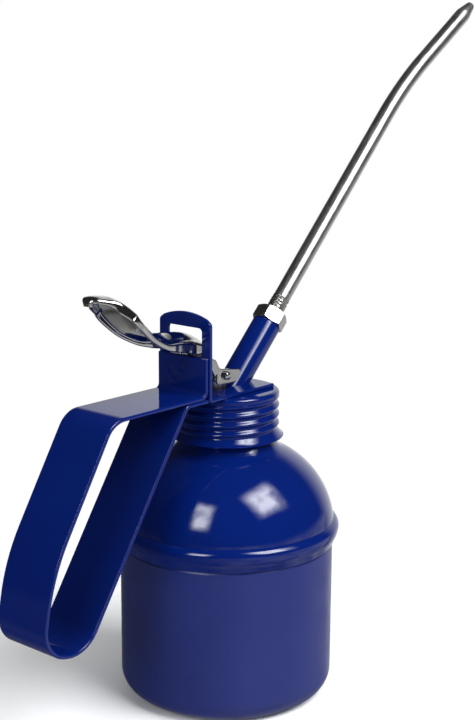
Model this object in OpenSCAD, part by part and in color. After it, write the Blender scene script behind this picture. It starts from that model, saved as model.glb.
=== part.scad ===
// Hand oiler can: a pressed steel can with a screwed head that carries a thumb-lever pump,
// an open strap handle and an angled spout.
// Origin: centre of the base, on the can's axis. +Z is up and +X is the spout's side.

/* [Can] */
// Outer diameter of the can
can_d = 86; // [72:0.5:108]
// Height of the straight wall, up to the lower edge of the shoulder
can_h = 63.2; // [50:0.1:100]
// Outer radius of the bottom corner
base_corner_r = 8.5; // [4:0.5:14]
// Sheet thickness of the can and its shoulder
can_wall = 0.6; // [0.4:0.1:0.9]
// How far the can's wall reaches up inside the shoulder's skirt
seam_lap = 5; // [3:0.5:6]

/* [Shoulder] */
// How far the rolled bead stands out beyond the can's wall
bead_out = 2.4; // [1.5:0.1:3.5]
// Height of the rolled bead and its skirt
bead_h = 8.8; // [7:0.1:12]
// Radius of the dome's profile
dome_r = 36; // [28:1:40]
// Radius of the hollow that turns the dome into the neck
neck_fillet_r = 8; // [5:0.5:10]

/* [Neck and screwed cap] */
// Outer radius over the neck's thread ridges
neck_crest_r = 18.6; // [15.5:0.1:22.4]
// Height of the neck above its fillet
neck_h = 14.8; // [13:0.2:20]
// Pitch of the rolled thread
thread_pitch = 3.7; // [3:0.1:4.5]
// Depth of the rolled thread
thread_depth = 1.1; // [0.6:0.1:1.4]
// Radial gap between the neck's ridges and the cap's hollows
thread_gap = 0.35; // [0.2:0.05:0.6]
// Sheet thickness of the cap
cap_wall = 0.8; // [0.6:0.1:1]
// How far the cap's lower rim flares out
cap_flare = 1.8; // [1:0.1:2.5]
// Thickness of the sealing ring
gasket_t = 1.6; // [1:0.1:2.5]

/* [Strap handle] */
// Width of the handle strap
strap_w = 25; // [19:0.5:30]
// Thickness of the handle strap
strap_t = 1.5; // [1:0.1:2]

/* [Lever bracket] */
// Width of the bracket
bracket_w = 26.2; // [24:0.2:32]
// Sheet thickness of the bracket
bracket_t = 1.5; // [1:0.1:2]
// Height of the bracket's shoulders above the cap
bracket_h = 31; // [28:0.5:36]
// Rise of the arched top edge
bracket_arch = 3.1; // [1:0.1:5]
// Width of the window that the lever passes through
window_w = 17.4; // [17.2:0.2:19]
// Height of the sill above the cap
sill_h = 17.2; // [15:0.2:19]
// Height of the window
window_h = 11.2; // [10.4:0.2:12]

/* [Thumb lever] */
// Sheet thickness of the lever
lever_t = 1.2; // [0.8:0.1:1.5]
// Half the width of the thumb pad at its widest
pad_half_w = 10.5; // [9:0.1:13]
// Half the width of the neck between the pad and the bracket
lever_neck_half_w = 6.8; // [5.5:0.1:7]
// Half the width of the lever inside the window and down its tail
lever_tail_half_w = 7; // [6.6:0.1:7.2]
// Angle that the thumb lever swings through
lever_swing = 18; // [8:1:20]

/* [Pump] */
// Distance of the pump's axis behind the can's axis, if the neck leaves room for it
pump_back = 8; // [7:0.25:9]
// Outer radius of the pump head
pump_head_r = 7.4; // [6.8:0.1:7.6]
// Depth of the pump head below the cap
pump_head_h = 14; // [12:0.5:16]
// Outer radius of the pump barrel
barrel_r = 7; // [5.8:0.1:8.4]
// Wall of the pump barrel
barrel_wall = 0.8; // [0.6:0.1:1]
// Length of the pump barrel
barrel_len = 46; // [38:1:56]
// Radius of the plunger rod
rod_r = 2; // [1.5:0.1:2.2]
// Outer radius of the suction tube
suction_r = 2.6; // [2.2:0.1:3.2]
// Gap between the strainer's foot and the can's floor
strainer_gap = 2.5; // [1.5:0.5:6]
// Radius of the foot valve's ball
foot_ball_r = 2.4; // [2:0.1:2.6]
// Lift of each valve ball
ball_lift = 1.5; // [1:0.1:2]
// Number of turns in the return spring
spring_turns = 8; // [5:1:10]
// Radius of the spring's wire
spring_wire_r = 0.5; // [0.4:0.05:0.6]

/* [Spout] */
// Angle between the spout's lower part and the vertical
spout_angle = 44.6; // [40:0.2:50]
// Outer radius of the painted boss
boss_r = 5.9; // [4.9:0.1:7.1]
// Length of the boss above the cap's top, along its axis
boss_len = 31.3; // [26:0.1:40]
// Across flats of the lock nut
nut_af = 12; // [10:0.5:14]
// Height of the lock nut
nut_h = 6; // [4:0.25:8]
// Outer radius over the ferrule's thread
ferrule_r = 3.7; // [3.2:0.05:4]
// Length of ferrule thread that shows above the lock nut
ferrule_show = 7.6; // [4:0.1:10]
// Outer radius of the spout tube
tube_r = 3.5; // [3:0.1:4]
// Wall of the spout tube
tube_wall = 0.7; // [0.5:0.1:0.9]
// Length of the spout tube's straight lower part
tube_lower_len = 100.7; // [70:0.1:150]
// Radius of the long bend near the spout's tip
bend_r = 180; // [120:5:220]
// Angle of the bend
bend_angle = 12.1; // [6:0.1:18]
// Length of the straight part after the bend, up to the tapered tip
tube_upper_len = 38; // [20:1:60]
// Length of the tapered tip
tip_len = 8; // [5:0.5:12]
// Outer radius at the end of the tip
tip_r = 2; // [1.6:0.1:2.5]

/* [Fits] */
// Radial gap of a running fit
run_gap = 0.05; // [0.02:0.01:0.1]
// Gap between parts that never touch
free_gap = 0.3; // [0.2:0.05:0.5]

/* [Hidden] */
$fn = 96;

paint_blue = [0.03, 0.09, 0.42];
zinc = [0.72, 0.73, 0.74];
chrome = [0.82, 0.83, 0.85];
brass = [0.72, 0.56, 0.28];
dark_rubber = [0.1, 0.1, 0.1];

eps = 0.01;
can_r = can_d / 2;
seam_gap = 0.05;
skirt_r = can_r + seam_gap + can_wall;

// Dome, fillet and neck: the fillet's circle touches the dome's circle and the neck's wall.
dome_cx = skirt_r - dome_r;
dome_cz = can_h + 4.5;
fillet_cx = neck_crest_r + neck_fillet_r;
fillet_rise = sqrt(pow(dome_r + neck_fillet_r, 2) - pow(fillet_cx - dome_cx, 2));
fillet_turn = atan2(fillet_rise, fillet_cx - dome_cx);
neck_z = dome_cz + fillet_rise;
neck_top = neck_z + neck_h;
neck_root_r = neck_crest_r - thread_depth;
lip_h = 1.4;

// Cap, counted from its flat top, which carries everything else on the head.
gasket_gap = 0.2;
head_z = neck_top + gasket_gap + gasket_t + cap_wall;
cap_root_r = neck_crest_r + thread_gap + cap_wall;
cap_crest_r = cap_root_r + thread_depth;
cap_h = 19;
cap_flare_h = 3;
cap_corner_r = 1.6;

// The pump's axis moves in towards the can's axis where the neck leaves too little room for it.
pump_widest_r = max(pump_head_r, barrel_r);
pump_x = -min(pump_back, neck_root_r - can_wall - pump_widest_r - 1.4);
gasket_in_r = pump_widest_r - pump_x + free_gap;

// Handle strap.
plate_x = -25.1;
strap_gap = 0.08;
strap_bend_r = 2.5;
foot_end_x = plate_x - 0.1;

// Lever bracket.
window_corner_r = 1.5;

// Lever pivot: the lever's flanges rock on the sill.
pivot_x = plate_x;
pivot_z = sill_h;

// Pump, counted down from the cap's flat top.
spigot_r = 4.6;
barrel_in_r = barrel_r - barrel_wall;
head_bottom = -cap_wall - pump_head_h;
head_spigot_h = 4;
barrel_top = head_bottom;
barrel_bottom = barrel_top - barrel_len;
packing_r = 3.4;
packing_h = 2.4;
head_chamber_r = barrel_in_r - 1;
head_wall_h = 5;
pin_z = 7.2;
pin_r = 1.2;
pin_head_r = 1.5;
pin_head_h = 0.7;
gland_nut_r = 4.3;
gland_nut_h = 1.5;
gland_z = bracket_t + 1.6;
arm_x = pump_x - pivot_x;
arm_z = pin_z - pivot_z;
lift_max = arm_x * sin(lever_swing) + arm_z * (cos(lever_swing) - 1);
seat_touch = 0.05;
seat_h = 4;
suction_wall = 0.9;
ball_z = barrel_bottom + seat_h + seat_touch + sqrt(pow(foot_ball_r, 2) - pow(suction_r - suction_wall, 2));
stop_z = ball_z + foot_ball_r + ball_lift + free_gap;
stop_h = 1.2;
piston_z = stop_z + stop_h + 3;
piston_nut_h = 2.4;
piston_h = 4;
cup_h = 5;
cup_wall = 1;
cup_base_h = 1.6;
piston_top = piston_z + piston_nut_h + piston_h + cup_base_h;
spring_low = piston_top + 0.1;
spring_high = head_bottom - head_spigot_h - 0.1;

// The spring stands inside the cup's lip.
spring_r = min(rod_r + 1.9, barrel_in_r - run_gap - cup_wall - 0.4 - spring_wire_r - 0.15);
strainer_h = 8;
strainer_r = 4.8;
strainer_low = strainer_gap + can_wall - head_z;
suction_low = strainer_low + 1.6;

// Spout, along the boss's axis, which crosses the cap's top at boss_x.
boss_x = 2.3;
bracket_foot_end = boss_x + bracket_t * tan(spout_angle) + (boss_r + run_gap) / cos(spout_angle) + 1.2;

// How far the lock nut is turned when it is tight.
nut_turn = 20.5;
boss_bore_r = ferrule_r + run_gap;
ferrule_bore_r = 1.9;
ferrule_in = 9;
tube_bore_r = tube_r - tube_wall;
valve_bore_r = 2.7;
outlet_ball_r = 1.7;
outlet_hole_r = 1.1;
outlet_seat_h = 3;
boss_tail = (boss_x - pump_x) / sin(spout_angle);
outlet_seat_s = boss_len - ferrule_in - ball_lift - 2 * outlet_ball_r - 3.2;
outlet_ball_s = outlet_seat_s + outlet_seat_h + seat_touch
                + sqrt(pow(outlet_ball_r, 2) - pow(outlet_hole_r, 2));
tube_start = boss_len + nut_h + ferrule_show;

// Points along an arc in a profile plane.
function arc(cx, cy, r, from, to, steps = 12) =
    [for (i = [0 : steps]) let (a = from + (to - from) * i / steps) [cx + r * cos(a), cy + r * sin(a)]];

// Radius of a rolled wall with a wave of the thread's pitch, highest at z = crest_z.
function wave_r(root_r, z, crest_z) =
    root_r + thread_depth * (0.5 + 0.5 * cos(360 * (z - crest_z) / thread_pitch));

// Points of a rolled wall between two heights.
function wave(root_r, z0, z1, crest_z, steps) =
    [for (i = [0 : steps]) let (z = z0 + (z1 - z0) * i / steps) [wave_r(root_r, z, crest_z), z]];

function reversed(list) = [for (i = [len(list) - 1 : -1 : 0]) list[i]];
function unit(v) = v / norm(v);
function left_of(v) = [-v[1], v[0]];

// A smooth curve through hand-set points (Catmull-Rom), with steps between each two.
function blend4(a, b, c, d, t) =
    0.5 * (2 * b + (c - a) * t + (2 * a - 5 * b + 4 * c - d) * t * t
           + (3 * b - a - 3 * c + d) * t * t * t);
function smooth(points, steps) =
    let (n = len(points) - 1)
    concat([for (i = [0 : n - 1], k = [0 : steps - 1])
                blend4(points[max(i - 1, 0)], points[i], points[i + 1], points[min(i + 2, n)], k / steps)],
           [points[n]]);

// A path through corners [x, z, radius], each rounded by its own arc.
function rounded_corner(before, corner, after) =
    let (p = [corner[0], corner[1]],
         u = unit([before[0], before[1]] - p),
         v = unit([after[0], after[1]] - p),
         half = acos(u * v) / 2,
         centre = p + unit(u + v) * corner[2] / sin(half),
         start = p + u * corner[2] / tan(half) - centre,
         end = p + v * corner[2] / tan(half) - centre,
         a0 = atan2(start[1], start[0]),
         turn = atan2(start[0] * end[1] - start[1] * end[0], start * end),
         steps = max(3, ceil(abs(turn) / 9)))
    [for (i = [0 : steps]) centre + corner[2] * [cos(a0 + turn * i / steps), sin(a0 + turn * i / steps)]];
function rounded_path(corners) =
    let (n = len(corners) - 1)
    concat([[corners[0][0], corners[0][1]]],
           [for (i = [1 : n - 1]) each rounded_corner(corners[i - 1], corners[i], corners[i + 1])],
           [[corners[n][0], corners[n][1]]]);

// The path moved sideways by d, to its left.
function tangent(path, i) = unit(path[min(i + 1, len(path) - 1)] - path[max(i - 1, 0)]);
function beside(path, d) = [for (i = [0 : len(path) - 1]) path[i] + d * left_of(tangent(path, i))];

// Places a shape on the head: z = 0 is the cap's flat top.
module on_head() {
    translate([0, 0, head_z]) children();
}

// Places a shape along the spout boss's axis: z = 0 is where that axis crosses the cap's top.
module on_boss() {
    on_head() translate([boss_x, 0, 0]) rotate([0, spout_angle, 0]) children();
}

// Places a shape on the pump's axis.
module on_pump() {
    on_head() translate([pump_x, 0, 0]) children();
}

// An outline in X and Z, pulled out to a width centred on Y = 0.
module across(width) {
    rotate([90, 0, 0]) linear_extrude(width, center = true) children();
}

module tube(outer_r, inner_r, z0, z1) {
    translate([0, 0, z0]) difference() {
        cylinder(r = outer_r, h = z1 - z0);
        translate([0, 0, -1]) cylinder(r = inner_r, h = z1 - z0 + 2);
    }
}

module can_body() {
    outer_path = concat([[0, 0]], arc(can_r - base_corner_r, base_corner_r, base_corner_r, -90, 0),
                        [[can_r, can_h + seam_lap]]);
    inner_path = concat([[0, can_wall]],
                        arc(can_r - base_corner_r, base_corner_r, base_corner_r - can_wall, -90, 0),
                        [[can_r - can_wall, can_h + seam_lap]]);
    color(paint_blue) rotate_extrude() polygon(concat(outer_path, reversed(inner_path)));
}

// Middle of the shoulder's sheet: skirt, rolled bead, dome, fillet and threaded neck.
shoulder_path = let (r = skirt_r - can_wall / 2, b = bead_out - can_wall / 2)
    concat([[r, can_h], [r + 0.36 * b, can_h + 0.22 * bead_h], [r + 0.72 * b, can_h + 0.42 * bead_h],
            [r + 0.9 * b, can_h + 0.63 * bead_h], [r + 0.8 * b, can_h + 0.8 * bead_h],
            [r + 0.4 * b, can_h + 0.93 * bead_h]],
           arc(dome_cx, dome_cz, dome_r - can_wall / 2, 7, fillet_turn, 22),
           arc(fillet_cx, neck_z, neck_fillet_r + can_wall / 2, 180 + fillet_turn, 180, 8));

module can_shoulder() {
    body_path = concat(beside(shoulder_path, -can_wall / 2),
                       wave(neck_root_r, neck_z + 0.4, neck_top - lip_h, neck_z + 1.85, 28),
                       [[neck_root_r + 0.4, neck_top - 0.3], [neck_root_r, neck_top]]);
    inner_path = concat(beside(shoulder_path, can_wall / 2),
                        wave(neck_root_r - can_wall, neck_z + 0.4, neck_top - lip_h, neck_z + 1.85, 28),
                        [[neck_root_r - can_wall, neck_top]]);
    color(paint_blue) rotate_extrude() polygon(concat(body_path, reversed(inner_path)));
}

module cap_gasket() {
    color(dark_rubber) on_head() tube(neck_crest_r, gasket_in_r, -cap_wall - gasket_t, -cap_wall);
}

// Holes through the cap and the bracket's foot on it, for the pump's spigot and the spout's boss.
module head_holes() {
    translate([pump_x, 0, -5]) cylinder(r = spigot_r + run_gap, h = 12);
    translate([boss_x, 0, 0]) rotate([0, spout_angle, 0]) translate([0, 0, -14])
        cylinder(r = boss_r + run_gap, h = 30);
}

module cap() {
    top_r = cap_crest_r - cap_corner_r;
    bottom = -cap_h;
    outer_path = concat([[0, 0]], arc(top_r, -cap_corner_r, cap_corner_r, 90, 0, 6),
                        reversed(wave(cap_root_r, bottom + cap_flare_h, -cap_corner_r - 0.4,
                                      -cap_corner_r - 0.4, 32)),
                        [[cap_crest_r + 0.35 * cap_flare, bottom + 1.3], [cap_crest_r + cap_flare, bottom]]);
    inner_path = concat([[0, -cap_wall]], arc(top_r, -cap_corner_r, cap_corner_r - cap_wall, 90, 0, 6),
                        reversed(wave(cap_root_r - cap_wall, bottom + cap_flare_h, -cap_corner_r - 0.4,
                                      -cap_corner_r - 0.4, 32)),
                        [[cap_crest_r + 0.35 * cap_flare - cap_wall, bottom + 1.3],
                         [cap_crest_r + cap_flare - cap_wall, bottom]]);
    color(paint_blue) on_head() difference() {
        rotate_extrude() polygon(concat(outer_path, reversed(inner_path)));
        head_holes();
    }
}

// Corners of the strap's middle line: front plate, top run, loop, and the foot behind the bracket.
strap_top_z = 1.5 * strap_t + strap_gap;
strap_corners = [
    [plate_x - strap_t / 2, sill_h],
    [plate_x - strap_t / 2, strap_top_z, strap_bend_r],
    [-75.2, strap_top_z, 10],
    [-105.4, -46.9, 70],
    [-110.4, -75.1, 11],
    [-90.4, -80.5, 13],
    [-36.6, strap_t / 2, 3],
    [foot_end_x, strap_t / 2]];

module handle_strap() {
    path = rounded_path(strap_corners);
    color(paint_blue) on_head() across(strap_w)
        polygon(concat(beside(path, strap_t / 2), reversed(beside(path, -strap_t / 2))));
}

// Outline of the bracket's upright plate, seen along X.
module bracket_outline() {
    half_w = bracket_w / 2;
    top_r = (half_w * half_w + bracket_arch * bracket_arch) / (2 * bracket_arch);
    arch_half = asin(half_w / top_r);
    corner_r = 2;
    difference() {
        polygon(concat([[-half_w, bracket_t], [half_w, bracket_t], [half_w, bracket_h - corner_r]],
                       arc(half_w - corner_r, bracket_h - corner_r + 0.4, corner_r, 0, 90 - arch_half, 5),
                       arc(0, bracket_h + bracket_arch - top_r, top_r,
                           90 - 0.82 * arch_half, 90 + 0.82 * arch_half, 16),
                       arc(corner_r - half_w, bracket_h - corner_r + 0.4, corner_r, 90 + arch_half, 180, 5),
                       [[-half_w, bracket_h - corner_r]]));
        translate([-window_w / 2, sill_h]) square([window_w, window_h - window_corner_r]);
        translate([-window_w / 2 + window_corner_r, sill_h])
            square([window_w - 2 * window_corner_r, window_h]);
        for (side = [-1, 1])
            translate([side * (window_w / 2 - window_corner_r), sill_h + window_h - window_corner_r])
                circle(r = window_corner_r);
    }
}

module lever_bracket() {
    mid_x = plate_x + bracket_t / 2;
    bend_path = rounded_path([[mid_x, bracket_t + 2 * eps], [mid_x, bracket_t / 2, bracket_t / 2 + eps],
                              [bracket_foot_end, bracket_t / 2]]);
    color(paint_blue) on_head() difference() {
        union() {
            translate([plate_x, 0, 0]) rotate([90, 0, 90]) linear_extrude(bracket_t) bracket_outline();
            across(bracket_w) polygon(concat(beside(bend_path, bracket_t / 2),
                                             reversed(beside(bend_path, -bracket_t / 2))));
        }
        head_holes();
    }
}

// Thumb lever. Stations along the top of its web: [x, z, half width, flange depth, crown].
lever_stations = [
    [-76.6, 42.5, 1.8, 2, 0.1],
    [-76.2, 44.5, 2.8, 2, 0.2],
    [-74, 45.8, 4.2, 2.2, 0.4],
    [-69.7, 45.6, 5.9, 2.6, 0.8],
    [-65.1, 44.6, 8, 4.2, 1.2],
    [-59.6, 40.8, pad_half_w - 0.9, 4, 1.5],
    [-56.8, 37.4, pad_half_w, 3.4, 1.6],
    [-51.4, 32.6, pad_half_w - 0.6, 3, 1.8],
    [-47.2, 30.2, pad_half_w - 1.3, 2.9, 2.2],
    [-41, 28.2, lever_neck_half_w + 1.4, 3.2, 2.8],
    [-35.5, 27.6, lever_neck_half_w + 0.4, 4.2, 2.8],
    [-30, 27, lever_neck_half_w, 4.6, 2.8],
    [-26.2, 26.3, lever_tail_half_w, 5.2, 2.6],
    [-22.4, 24.8, lever_tail_half_w, 5, 2.2],
    [-19, 22.6, lever_tail_half_w, 4.2, 1.6],
    [-16.8, 18.8, lever_tail_half_w, 3.4, 0.8],
    [-14.6, 14, lever_tail_half_w, 3.2, 0.3],
    [-12.4, 9.8, lever_tail_half_w, 3.2, 0.1]];
lever_steps = 3;
lever_curve = smooth(lever_stations, lever_steps);
lever_axis = [for (s = lever_curve) [s[0], s[1]]];

// Half of a channel section, from the crown's middle to the flange's edge: [out, down].
function lever_half_section(half_w, depth, crown, inset) =
    let (r = 1.6 - inset * 0.9, w = half_w - inset, flat = w - r)
    concat([for (k = [0 : 3]) let (u = k / 4) [u * flat, crown * u * u + inset]],
           [for (a = [0 : 22.5 : 90]) [flat + r * sin(a), crown + inset + r * (1 - cos(a))]],
           [[w, max(depth, crown + inset + r + 0.1)]]);
function lever_section(s, inset) =
    let (half = lever_half_section(s[2], s[3] + s[4], s[4], inset))
    concat([for (q = reversed(half)) [-q[0], q[1]]], [for (i = [1 : len(half) - 1]) half[i]]);
function lever_ring(i) =
    let (s = lever_curve[i],
         t = tangent(lever_axis, i),
         down = -left_of(t),
         loop = concat(lever_section(s, 0), reversed(lever_section(s, lever_t))))
    [for (q = loop) [s[0] + q[1] * down[0], q[0], s[1] + q[1] * down[1]]];

// A closed skin over rings of points, with both ends filled as strips of the channel.
module skin(rings) {
    n = len(rings[0]);
    m = len(rings);
    sides = [for (i = [0 : m - 2], k = [0 : n - 1])
                 let (a = i * n + k, b = i * n + (k + 1) % n) each [[a, a + n, b + n], [a, b + n, b]]];
    ends = [for (k = [0 : n / 2 - 2])
                let (a = k, b = k + 1, c = n - 2 - k, d = n - 1 - k, last = (m - 1) * n)
                each [[a, b, c], [a, c, d], [last + a, last + c, last + b], [last + a, last + d, last + c]]];
    polyhedron([for (ring = rings) each ring], [for (face = concat(sides, ends)) reversed(face)]);
}

// One cheek of the lever's fork. The pin slides along a slot from its place at rest to its
// place at full swing, as the lever sees them.
module fork_cheek() {
    slot_r = pin_r + 0.25;
    slot = [arm_x * cos(lever_swing) + (arm_z + lift_max) * sin(lever_swing) - arm_x,
            (arm_z + lift_max) * cos(lever_swing) - arm_x * sin(lever_swing) - arm_z];
    difference() {
        polygon([[-17.6, 15.5], [-14.4, 14.6], [-12.2, 10.6], [-1, 8.9], [0.2, 8],
                 [-1.8, 4.6], [-3.2, 3.8], [-12.4, 3.8], [-14, 5.2], [-13.6, 9.6]]);
        translate([pump_x, pin_z]) {
            circle(r = slot_r);
            translate(slot) circle(r = slot_r);
            rotate(atan2(slot[1], slot[0])) translate([0, -slot_r]) square([norm(slot), 2 * slot_r]);
        }
    }
}

module thumb_lever() {
    color(chrome) on_head() {
        skin([for (i = [0 : len(lever_curve) - 1]) lever_ring(i)]);
        for (side = [-1, 1])
            translate([0, side * (lever_tail_half_w - lever_t / 2), 0]) across(lever_t - 0.1) fork_cheek();
    }
}

module plunger_rod() {
    eye_r = 2.3;
    eye_w = 6;
    color(zinc) on_pump() difference() {
        union() {
            translate([0, 0, piston_z]) cylinder(r = rod_r, h = pin_z - piston_z);
            translate([0, 0, pin_z]) rotate([90, 0, 0]) cylinder(r = eye_r, h = eye_w, center = true);
        }
        translate([0, 0, pin_z]) rotate([90, 0, 0]) cylinder(r = pin_r, h = eye_w + 2, center = true);
    }
}

module plunger_pin() {
    half_len = lever_tail_half_w + free_gap;
    color(chrome) on_pump() translate([0, 0, pin_z]) rotate([90, 0, 0]) {
        cylinder(r = pin_r, h = 2 * half_len, center = true);
        for (side = [-1, 1])
            translate([0, 0, side * (half_len + pin_head_h / 2)])
                cylinder(r = pin_head_r, h = pin_head_h, center = true);
    }
}

module piston_nut() {
    color(brass) on_pump() difference() {
        translate([0, 0, piston_z]) cylinder(r = 3.6, h = piston_nut_h, $fn = 6);
        translate([0, 0, piston_z - 1]) cylinder(r = rod_r, h = piston_nut_h + 2);
    }
}

module piston_body() {
    z0 = piston_z + piston_nut_h;
    color(brass) on_pump() tube(barrel_in_r - 0.15, rod_r, z0, z0 + piston_h);
}

// Leather cup: its lip points up and folds in as the plunger goes down.
module piston_cup() {
    z0 = piston_z + piston_nut_h + piston_h;
    r = barrel_in_r - run_gap;
    color([0.45, 0.3, 0.18]) on_pump() translate([0, 0, z0]) difference() {
        cylinder(r = r, h = cup_h);
        translate([0, 0, -1]) cylinder(r = rod_r, h = cup_h + 2);
        translate([0, 0, cup_base_h]) cylinder(r1 = r - cup_wall - 0.4, r2 = r - 0.4, h = cup_h);
    }
}

// A round wire wound into a coil.
function coil_ring(angle, z) =
    [for (k = [0 : 5]) let (b = 60 * k, r = spring_r + spring_wire_r * cos(b))
        [r * cos(angle), r * sin(angle), z + spring_wire_r * sin(b)]];

module return_spring() {
    sides = 6;
    turn_steps = 18;
    steps = spring_turns * turn_steps;
    low = spring_low + spring_wire_r;
    high = spring_high - spring_wire_r;
    rings = [for (i = [0 : steps]) coil_ring(360 * i / turn_steps, low + (high - low) * i / steps)];
    walls = [for (i = [0 : steps - 1], k = [0 : sides - 1])
                 let (a = i * sides + k, b = i * sides + (k + 1) % sides)
                 each [[a, a + sides, b + sides], [a, b + sides, b]]];
    first = [for (k = [sides - 1 : -1 : 0]) k];
    last = [for (k = [0 : sides - 1]) steps * sides + k];
    color(zinc) on_pump()
        polyhedron([for (ring = rings) each ring], [for (f = concat(walls, [first, last])) reversed(f)]);
}

module pump_head() {
    port_r = 1.6;
    color(brass) on_head() difference() {
        translate([pump_x, 0, 0]) union() {
            translate([0, 0, -cap_wall - pump_head_h]) cylinder(r = pump_head_r, h = pump_head_h);
            translate([0, 0, -cap_wall - eps]) cylinder(r = spigot_r, h = gland_z + cap_wall + eps);
            translate([0, 0, head_bottom - head_spigot_h])
                cylinder(r = barrel_in_r, h = head_spigot_h + eps);
        }
        translate([pump_x, 0, head_bottom - head_spigot_h - 1])
            cylinder(r = head_chamber_r, h = pump_head_h + head_spigot_h - head_wall_h + 1);
        translate([pump_x, 0, -30]) cylinder(r = rod_r + run_gap, h = 40);
        translate([pump_x, 0, -packing_h]) cylinder(r = packing_r, h = 20);
        translate([boss_x, 0, 0]) rotate([0, spout_angle, 0]) translate([0, 0, -boss_tail])
            cylinder(r = port_r, h = boss_tail);
    }
}

module gland_packing() {
    color([0.75, 0.7, 0.55]) on_pump() tube(packing_r - run_gap, rod_r + run_gap, -packing_h, 0);
}

module gland_nut() {
    slot_w = 1.2;
    color(zinc) on_pump() difference() {
        union() {
            cylinder(r = packing_r - run_gap, h = gland_z + eps);
            translate([0, 0, gland_z]) cylinder(r = gland_nut_r, h = gland_nut_h);
        }
        translate([0, 0, -1]) cylinder(r = rod_r + run_gap, h = 12);
        translate([-slot_w / 2, -10, gland_z + gland_nut_h - 0.6]) cube([slot_w, 20, 2]);
    }
}

module pump_barrel() {
    color(brass) on_pump() tube(barrel_r, barrel_in_r, barrel_bottom, barrel_top);
}

module foot_valve_seat() {
    hole_r = suction_r - suction_wall;
    color(brass) on_pump() difference() {
        translate([0, 0, barrel_bottom]) cylinder(r = barrel_in_r, h = seat_h);
        translate([0, 0, barrel_bottom - 1]) cylinder(r = suction_r, h = seat_h / 2 + 1);
        translate([0, 0, barrel_bottom - 1]) cylinder(r = hole_r, h = seat_h + 2);
    }
}

module foot_valve_ball() {
    color(zinc) on_pump() translate([0, 0, ball_z]) sphere(r = foot_ball_r, $fn = 48);
}

// A drilled plate that stops the ball and lets the oil pass.
module foot_valve_stop() {
    color(brass) on_pump() translate([0, 0, stop_z]) difference() {
        cylinder(r = barrel_in_r, h = stop_h);
        for (i = [0 : 5]) rotate([0, 0, 60 * i]) translate([3.8, 0, -1]) cylinder(r = 1, h = stop_h + 2);
    }
}

module suction_tube() {
    color(zinc) on_pump() tube(suction_r, suction_r - suction_wall, suction_low, barrel_bottom + seat_h / 2);
}

module suction_strainer() {
    color(brass) on_pump() translate([0, 0, strainer_low]) difference() {
        cylinder(r = strainer_r, h = strainer_h);
        translate([0, 0, 0.8]) cylinder(r = strainer_r - 0.6, h = strainer_h - 1.6);
        translate([0, 0, strainer_h - 2]) cylinder(r = suction_r, h = 3);
        for (i = [0 : 7], level = [2.2, 4.4])
            rotate([0, 0, 45 * i]) translate([0, 0, level]) rotate([0, 90, 0]) cylinder(r = 0.6, h = 10);
    }
}

module spout_boss() {
    color(paint_blue) difference() {
        on_boss() translate([0, 0, -boss_tail]) cylinder(r = boss_r, h = boss_tail + boss_len);
        on_boss() translate([0, 0, boss_len - ferrule_in - free_gap])
            cylinder(r = boss_bore_r, h = ferrule_in + 1);
        on_boss() translate([0, 0, outlet_seat_s]) cylinder(r = valve_bore_r, h = 40);
        on_boss() translate([0, 0, -boss_tail - 1]) cylinder(r = outlet_hole_r + 0.5, h = 60);
        on_pump() translate([0, 0, head_bottom - 1]) cylinder(r = pump_head_r, h = pump_head_h + 1);
        on_pump() translate([0, 0, -cap_wall - 1]) cylinder(r = spigot_r, h = gland_z + cap_wall + 1);
        on_pump() translate([0, 0, gland_z - eps])
            cylinder(r = gland_nut_r + free_gap, h = gland_nut_h + free_gap);
    }
}

module outlet_valve_seat() {
    color(brass) on_boss()
        tube(valve_bore_r - run_gap, outlet_hole_r, outlet_seat_s, outlet_seat_s + outlet_seat_h);
}

module outlet_valve_ball() {
    color(zinc) on_boss() translate([0, 0, outlet_ball_s]) sphere(r = outlet_ball_r, $fn = 48);
}

// Fine ridges of the ferrule's thread, from z0 to z1.
function ridges(r, depth, pitch, z0, z1) =
    let (n = round((z1 - z0) / pitch))
    [for (i = [0 : n - 1]) each [[r - depth, z0 + (i + 0.1) * pitch], [r, z0 + (i + 0.45) * pitch],
                                [r, z0 + (i + 0.6) * pitch], [r - depth, z0 + (i + 0.95) * pitch]]];

module spout_ferrule() {
    low = boss_len - ferrule_in;
    high = tube_start;
    collar_r = tube_r + 0.1;
    ridge_depth = 0.45;
    color(zinc) on_boss() rotate_extrude()
        polygon(concat([[ferrule_bore_r, low], [ferrule_r - ridge_depth, low]],
                       ridges(ferrule_r, ridge_depth, 1.4, low, high - 0.9),
                       [[ferrule_r - ridge_depth, high - 0.9], [collar_r, high - 0.7], [collar_r, high],
                        [ferrule_bore_r, high]]));
}

module spout_lock_nut() {
    across_corners_r = nut_af / sqrt(3);
    chamfer = 0.6;
    color(zinc) on_boss() translate([0, 0, boss_len + 0.05]) difference() {
        intersection() {
            rotate([0, 0, nut_turn]) cylinder(r = across_corners_r, h = nut_h, $fn = 6);
            rotate_extrude() polygon([[0, 0], [across_corners_r - chamfer, 0],
                                      [across_corners_r, chamfer / 2],
                                      [across_corners_r, nut_h - chamfer / 2],
                                      [across_corners_r - chamfer, nut_h], [0, nut_h]]);
        }
        translate([0, 0, -1]) cylinder(r = ferrule_r + run_gap, h = nut_h + 2);
    }
}

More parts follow.
